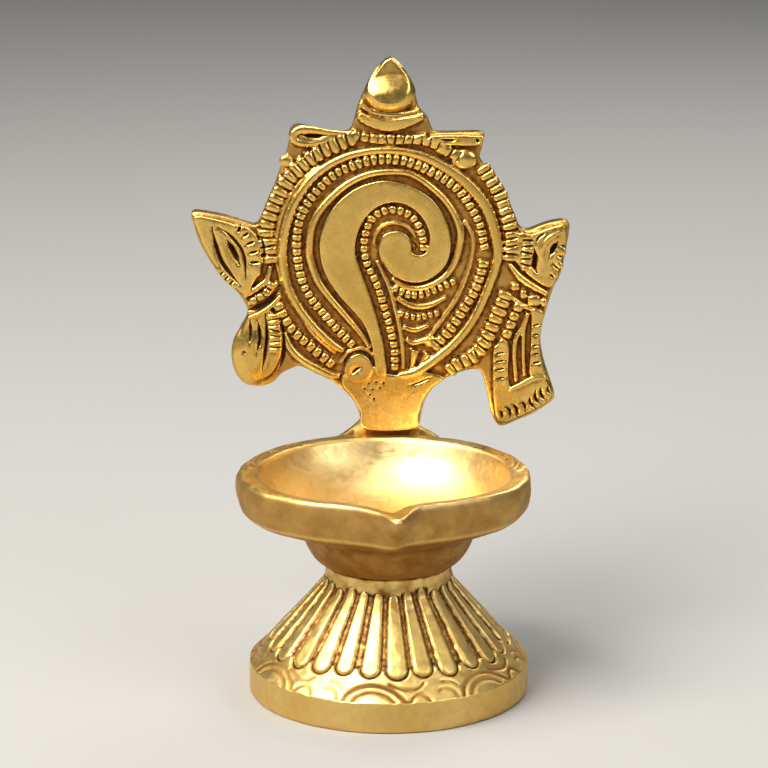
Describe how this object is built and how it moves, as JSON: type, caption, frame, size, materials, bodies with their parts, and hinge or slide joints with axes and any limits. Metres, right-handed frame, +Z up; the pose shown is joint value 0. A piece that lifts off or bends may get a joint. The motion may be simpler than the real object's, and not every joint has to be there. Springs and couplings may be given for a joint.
{
  "type": "brass diya oil lamp",
  "caption": "Cast brass oil lamp: fluted hollow foot, round oil bowl with a pointed wick spout, and an upright relief plate with a conch shell.",
  "frame": {"origin": "centre of the foot ring, on the surface that the lamp stands on", "axes": "+Z up the lamp, -Y towards the wick spout, +Y towards the plate, +X to the right when the spout faces the viewer"},
  "size_m": [0.0869, 0.0764, 0.1399],
  "materials": {
    "foot_brass": "cast and polished on the high spots, dark brown patina in the grooves",
    "bowl_brass": "turned and polished, fine tool marks",
    "plate_brass": "cast relief, brushed high faces, dark brown patina in the ground",
    "screw_steel": "zinc plated",
    "screw_brass": "turned"
  },
  "bodies": {
    "root": {"base": "foot_brass", "bowl": "bowl_brass", "conch_plate": "plate_brass", "clamp_screw": "screw_steel", "clamp_washer": "screw_steel", "plate_screws": "screw_brass"}
  },
  "joints": []
}
